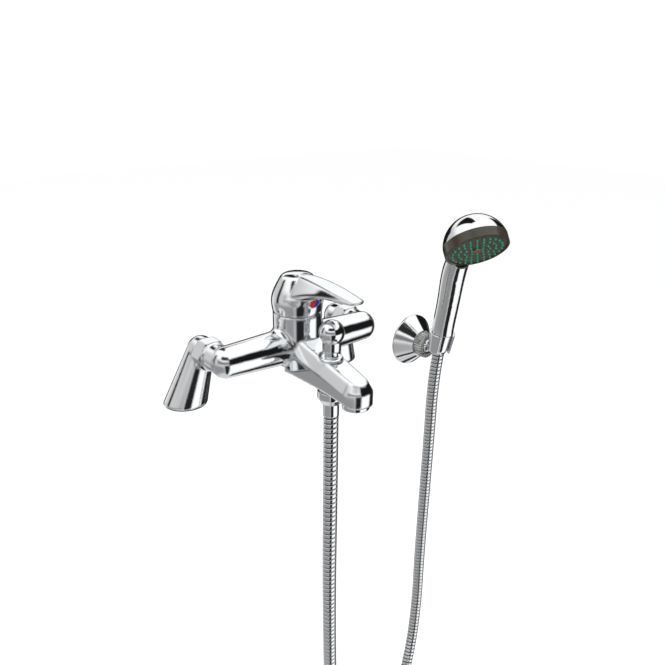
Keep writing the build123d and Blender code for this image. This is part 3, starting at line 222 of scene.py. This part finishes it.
# %% Floor and lamps
FLOOR_DROP = 12 * MM
FLOOR_HALF_WIDTH = 6
FLOOR_GLOW = 0.12
floor_height = cad_box[0][2] - FLOOR_DROP
grid = bmesh.new()
bmesh.ops.create_grid(grid, x_segments=1, y_segments=1, size=FLOOR_HALF_WIDTH)
bmesh.ops.translate(grid, verts=grid.verts, vec=(0, 0, floor_height))
floor_mesh = bpy.data.meshes.new("floor")
grid.to_mesh(floor_mesh)
grid.free()
floor = bpy.data.objects.new("floor", floor_mesh)
bpy.context.scene.collection.objects.link(floor)
floor_paint, tree, shader = material("pale_floor_paint")
shader.inputs["Base Color"].default_value = linear("#FBFBFB")
shader.inputs["Roughness"].default_value = 0.9
shader.inputs["Specular IOR Level"].default_value = 0
shader.inputs["Emission Color"].default_value = (1, 1, 1, 1)
shader.inputs["Emission Strength"].default_value = FLOOR_GLOW
floor_mesh.materials.append(floor_paint)
floor.visible_glossy = False

# name, place and size in metres, power in watts
LAMPS = [
    ("key", (-0.5, -1.2, 1.3), 1.2, 9),
    ("fill", (1.1, -0.6, 0.9), 1.0, 4),
]
for name, place, size, power in LAMPS:
    lamp = bpy.data.lights.new(name, "AREA")
    lamp.size = size
    lamp.energy = power
    lit = bpy.data.objects.new(name, lamp)
    lit.location = place
    lit.rotation_euler = (CAMERA_AIM - Vector(place)).to_track_quat("-Z", "Y").to_euler()
    lit.visible_glossy = False
    bpy.context.scene.collection.objects.link(lit)

# %% [markdown]
# ## Finishes
# Each finish starts from what the real one is. Plated castings are polished on a soft wheel, which rounds
# their edges: the shading rounds them too, most on the body, the lever and the legs, which are cast, and
# less on turned nuts. The plating never lies quite flat, so a slow ripple bends the mirrored boards.

# %% Finishes
HAZE_SCALE = 120
HAZE_RANGE = (0.3, 0.8)
SWELL_SCALE = 45
SWELL_HEIGHT = 0.2 * MM
CLOUD_SCALE = 60
CLOUD_SHADE = 0.82
TOOTH_HEIGHT = 0.4 * MM


def chrome(name, tint, roughness, ripple, round_mm=0.5):
    """Bright nickel-chrome plate: a mirror with a faint ripple and edges softened by the polishing wheel."""
    made, tree, shader = material(name)
    shader.inputs["Base Color"].default_value = linear(tint)
    shader.inputs["Metallic"].default_value = 1
    coords = add(tree, "TexCoord").outputs["Object"]
    haze = add(tree, "TexNoise", {"Vector": coords, "Scale": HAZE_SCALE, "Detail": 3, "Roughness": 0.6})
    low, high = HAZE_RANGE
    rough = add(tree, "MapRange", {"Value": haze.outputs["Fac"], "From Min": low, "From Max": high,
                                   "To Min": roughness, "To Max": roughness * 2}).outputs["Result"]
    tree.links.new(rough, shader.inputs["Roughness"])
    swell = add(tree, "TexNoise", {"Vector": coords, "Scale": SWELL_SCALE, "Detail": 1}).outputs["Fac"]
    bump = add(tree, "Bump", {"Height": swell, "Strength": ripple, "Distance": SWELL_HEIGHT})
    if round_mm:
        soft_edge = add(tree, "Bevel", {"Radius": round_mm * MM}, samples=6).outputs["Normal"]
        tree.links.new(soft_edge, bump.inputs["Normal"])
    tree.links.new(bump.outputs["Normal"], shader.inputs["Normal"])
    return made


def plastic(name, tint, roughness, grain_mm, depth):
    """A moulded plastic or rubber with the fine grain of its mould."""
    made, tree, shader = material(name)
    shader.inputs["Roughness"].default_value = roughness
    coords = add(tree, "TexCoord").outputs["Object"]
    grain = add(tree, "TexNoise", {"Vector": coords, "Scale": 1 / (grain_mm * MM), "Detail": 2})
    bump = add(tree, "Bump", {"Height": grain.outputs["Fac"], "Strength": depth,
                              "Distance": grain_mm * MM / 4})
    tree.links.new(bump.outputs["Normal"], shader.inputs["Normal"])
    cloud = add(tree, "TexNoise", {"Vector": coords, "Scale": CLOUD_SCALE, "Detail": 4}).outputs["Fac"]
    dark = [c * CLOUD_SHADE for c in linear(tint)[:3]] + [1]
    mix = add(tree, "Mix", {0: cloud, "A": dark, "B": linear(tint)}, data_type="RGBA")
    tree.links.new(mix.outputs[2], shader.inputs["Base Color"])
    return made


def knurled(name, tint, roughness, centre, teeth):
    """Satin chrome with fine teeth round a horizontal axis that runs to the wall."""
    made, tree, shader = material(name)
    shader.inputs["Base Color"].default_value = linear(tint)
    shader.inputs["Metallic"].default_value = 1
    shader.inputs["Roughness"].default_value = roughness
    coords = add(tree, "TexCoord").outputs["Object"]
    centred = add(tree, "VectorMath", {0: coords, 1: centre}, operation="SUBTRACT").outputs["Vector"]
    turned = add(tree, "Mapping", {"Vector": centred, "Rotation": (pi / 2, 0, 0)}).outputs["Vector"]
    angle = add(tree, "TexGradient", {"Vector": turned}, gradient_type="RADIAL").outputs["Fac"]
    phase = add(tree, "Math", {0: angle, 1: 2 * pi * teeth}, operation="MULTIPLY").outputs[0]
    wave = add(tree, "Math", {0: phase}, operation="SINE").outputs[0]
    bump = add(tree, "Bump", {"Height": wave, "Strength": 1, "Distance": TOOTH_HEIGHT}).outputs["Normal"]
    tree.links.new(bump, shader.inputs["Normal"])
    return made


STRIP_TINT = "#E2E4E6"
# dark colour painted into the hose's grooves as shade in the recesses
GROOVE_SHADE_TINT = "#3C3D3E"
# by slot: name, tint and roughness, then for metal the ripple and the rounding of edges in mm, and for
# plastic and rubber the size of the grain in mm and its depth
FINISHES = {
    "chromed_brass": chrome("polished_chrome_plate", "#E6E8EA", 0.035, 0.12, 1.6),
    "chromed_abs": chrome("chrome_plated_abs", "#E4E5E6", 0.045, 0.2),
    "hose_steel": chrome("bright_wound_steel_strip", STRIP_TINT, 0.06, 0, 0),
    "rubber": plastic("black_epdm_rubber", "#17181A", 0.6, 0.5, 0.3),
    "stainless": chrome("stainless_steel", "#B9BBBD", 0.2, 0.3),
    "brass": chrome("turned_brass", "#B8914B", 0.25, 0.3),
    "ceramic": plastic("lapped_alumina", "#E9E4DA", 0.25, 0.3, 0.1),
    "white_acetal": plastic("white_acetal", "#E6E6E2", 0.45, 0.4, 0.2),
    "red_enamel": plastic("red_gloss_enamel", "#D2231F", 0.2, 0.4, 0.05),
    "blue_enamel": plastic("blue_gloss_enamel", "#1F3C9C", 0.2, 0.4, 0.05),
    "bezel_plastic": plastic("smoked_olive_abs", "#3E392F", 0.24, 0.4, 0.1),
    "face_plastic": plastic("brown_grey_abs", "#483C35", 0.35, 0.4, 0.2),
    "nozzle_silicone": plastic("green_silicone", "#27A681", 0.45, 0.4, 0.1),
    "cap_plastic": plastic("brown_gloss_abs", "#6B4A40", 0.3, 0.4, 0.1),
}
steel = FINISHES["hose_steel"].node_tree
# the strip is darkened by the depth of its grooves: painted shade, stronger the deeper the groove
groove = add(steel, "Attribute", attribute_name="groove").outputs["Fac"]
groove_painted_shade = add(steel, "Mix", {0: groove, "A": linear(STRIP_TINT), "B": linear(GROOVE_SHADE_TINT)}, data_type="RGBA")
steel.links.new(groove_painted_shade.outputs[2], steel.nodes["Principled BSDF"].inputs["Base Color"])
slot_of = {part["node"]: part["material_slot"] for part in frame["record"]["subparts"]}
for name, node in nodes.items():
    node.data.materials.clear()
    node.data.materials.append(FINISHES[slot_of[name]])

# %% [markdown]
# ## Smooth skins for the chrome
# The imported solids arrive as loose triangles. A mirror shows every facet, so each polished piece gets a
# skin: a copy of its mesh with the doubled corners merged, shaded smooth and kept sharp at real edges.

# %% Skins
body_of = {name: body for body, names in frame["record"]["behaviour"]["bodies"].items() for name in names}


MERGE_DISTANCE = 0.000002
SHARP_FROM = radians(32)


def skin(name):
    """A merged, smooth copy of a CAD node that stands for it."""
    work = bmesh.new()
    work.from_mesh(nodes[name].data)
    bmesh.ops.remove_doubles(work, verts=work.verts, dist=MERGE_DISTANCE)
    for face in work.faces:
        face.smooth = True
    for edge in work.edges:
        edge.smooth = len(edge.link_faces) == 2 and edge.calc_face_angle(pi) < SHARP_FROM
    mesh = bpy.data.meshes.new(name + "_skin")
    work.to_mesh(mesh)
    work.free()
    mesh.materials.append(FINISHES[slot_of[name]])
    made = bpy.data.objects.new(name + "_skin", mesh)
    bpy.context.scene.collection.objects.link(made)
    weigh = made.modifiers.new("even_normals", "WEIGHTED_NORMAL")
    weigh.keep_sharp = True
    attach(made, body_of[name])
    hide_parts(name)
    return made


COLLAR_CENTRE = (0.2295, 0.0, -0.0195)
COLLAR_TEETH = 36
grip = knurled("knurled_satin_chrome", "#C2C4C2", 0.16, COLLAR_CENTRE, COLLAR_TEETH)
POLISHED = [name for name, slot in slot_of.items() if slot in ("chromed_brass", "chromed_abs")]
skins = {name: skin(name) for name in POLISHED}
CAST = ("mixer_body", "lever_handle", "left_leg", "right_leg")
cast = chrome("chrome_over_soft_castings", "#E6E8EA", 0.035, 0.12, 3.6)
for name in CAST:
    skins[name].data.materials[0] = cast
skins["bracket_collar"].data.materials[0] = grip
print("skins:", len(skins), "triangles:", sum(len(piece.data.polygons) for piece in skins.values()))

# %% [markdown]
# ## The hose
# A shower hose is a steel strip wound in a spiral round a plastic tube, so its ribs are one long screw
# thread, not rings. The strip is wound round a straight axis first, as the machine winds it, and the
# straight hose is then laid on its route. Its grooves are painted darker the deeper they go: painted
# shade in the recesses. The top of the hose is three short stretches, one for each joint of the holder.

# %% Hose
HOSE_DIAMETER = 13.5 * MM
RIB_PITCH = 4.9 * MM
RIB_DEPTH = 1.2 * MM
RIB_SIDES = 30
SPARE_TURNS = 4
ROUTE_STEPS = 24
# the strip's section over one pitch, as shares of the pitch and of the groove's depth
PROFILE_SHARES = [
    (0, -1), (0.04, -0.6), (0.09, -0.1), (0.14, 0), (0.22, 0),
    (0.64, 0), (0.72, 0), (0.77, -0.1), (0.82, -0.6), (0.87, -1),
]
# name, bodies at its two ends, and the points that its middle line turns at, in metres
STRETCHES = [
    ("shower_hose", "root", None, [
        (0, -0.1035, 0.0008),
        (0, -0.1035, -0.066),
        (-0.0012, -0.1038, -0.19),
        (0.002, -0.1026, -0.322),
        (0.012, -0.0988, -0.436),
        (0.046, -0.0855, -0.524),
        (0.106, -0.062, -0.562),
        (0.17, -0.0372, -0.54),
        (0.2125, -0.0206, -0.468),
        (0.2268, -0.0139, -0.392),
        (0.2295, -0.01066, -0.322),
        (0.2295, -0.01176, -0.2645),
    ]),
    ("hose_top_lower", "root", "holder_swivel", [
        (0.2295, -0.01176, -0.2645),
        (0.2295, -0.01235, -0.2339),
        (0.2295, -0.01335, -0.182),
    ]),
    ("hose_top_middle", "holder_swivel", "holder", [
        (0.2295, -0.01335, -0.182),
        (0.2295, -0.014312, -0.132),
        (0.227579, -0.016263, -0.101),
    ]),
    ("hose_top_upper", "holder", "hose_end", [
        (0.227579, -0.016263, -0.101),
        (0.22479, -0.019095, -0.056),
        (0.225809, -0.023722, -0.019881),
    ]),
]


def route_points(name, points):
    """Points along a smooth line through a stretch's route."""
    line = bpy.data.curves.new(name + "_route", "CURVE")
    line.dimensions = "3D"
    line.resolution_u = ROUTE_STEPS
    spline = line.splines.new("NURBS")
    spline.points.add(len(points) - 1)
    for spot, point in zip(spline.points, points):
        spot.co = (*point, 1)
    spline.order_u = 3
    spline.use_endpoint_u = True
    carrier = bpy.data.objects.new(name + "_route", line)
    mesh = bpy.data.meshes.new_from_object(carrier)
    found = [vertex.co.copy() for vertex in mesh.vertices]
    bpy.data.objects.remove(carrier)
    bpy.data.meshes.remove(mesh)
    return found


whole_line = []
stops = []
lines = {}
for name, _, _, points in STRETCHES:
    lines[name] = route_points(name, points)
    whole_line += lines[name] if not whole_line else lines[name][1:]
    stops.append(len(whole_line) - 1)
distances = [0]
for before, after in zip(whole_line, whole_line[1:]):
    distances.append(distances[-1] + (after - before).length)
across = Vector((1, 0, 0))
frames = []
for i, spot in enumerate(whole_line):
    ahead_spot = whole_line[min(i + 1, len(whole_line) - 1)]
    along = (ahead_spot - whole_line[max(i - 1, 0)]).normalized()
    across = (across - along * across.dot(along)).normalized()
    frames.append((spot, across.copy(), along.cross(across)))


def laid(place):
    """A point of the straight hose, laid on the route."""
    i = min(max(bisect(distances, place.z) - 1, 0), len(distances) - 2)
    share = (place.z - distances[i]) / (distances[i + 1] - distances[i])
    spot, side, front = (a.lerp(b, share) for a, b in zip(frames[i], frames[i + 1]))
    return spot + side.normalized() * place.x + front.normalized() * place.y


def wound_hose(length):
    """A straight hose of one strip wound in a spiral, longer than needed at both ends."""
    work = bmesh.new()
    groove = work.verts.layers.float.new("groove")
    steps = RIB_SIDES * (int(length / RIB_PITCH) + SPARE_TURNS)
    rows = []
    for step in range(steps + RIB_SIDES + 1):
        angle = 2 * pi * step / RIB_SIDES
        row = []
        for share, rise in PROFILE_SHARES:
            radius = HOSE_DIAMETER / 2 + rise * RIB_DEPTH
            along = (share - SPARE_TURNS / 2 + step / RIB_SIDES) * RIB_PITCH
            corner = work.verts.new((radius * cos(angle), radius * sin(angle), along))
            # depth into the groove, which sets how much painted shade the strip gets there
            corner[groove] = -rise
            row.append(corner)
        rows.append(row)
    for step in range(steps):
        near = rows[step] + rows[step + RIB_SIDES][:1]
        far = rows[step + 1] + rows[step + 1 + RIB_SIDES][:1]
        for k in range(len(PROFILE_SHARES)):
            work.faces.new((near[k], far[k], far[k + 1], near[k + 1]))
    return work


whole_hose = wound_hose(distances[-1])
whole_hose.normal_update()
start = 0
for (name, body, far_body, points), stop in zip(STRETCHES, stops):
    low, high = distances[start], distances[stop]
    work = whole_hose.copy()
    for cut, clears in ((low, {"clear_inner": True}), (high, {"clear_outer": True})):
        everything = work.verts[:] + work.edges[:] + work.faces[:]
        bmesh.ops.bisect_plane(work, geom=everything, plane_co=(0, 0, cut), plane_no=(0, 0, 1), **clears)
    for vertex in work.verts:
        vertex.co = laid(vertex.co)
    for face in work.faces:
        face.smooth = True
    bmesh.ops.recalc_face_normals(work, faces=work.faces)
    mesh = bpy.data.meshes.new(name + "_wound")
    work.to_mesh(mesh)
    work.free()
    mesh.materials.append(FINISHES["hose_steel"])
    hose = bpy.data.objects.new(name + "_wound", mesh)
    bpy.context.scene.collection.objects.link(hose)
    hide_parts(name)
    if far_body:
        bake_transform(hose)
    else:
        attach(hose, body)
    print(name, "length", round(high - low, 4), "faces", len(mesh.polygons))
    start = stop
whole_hose.free()
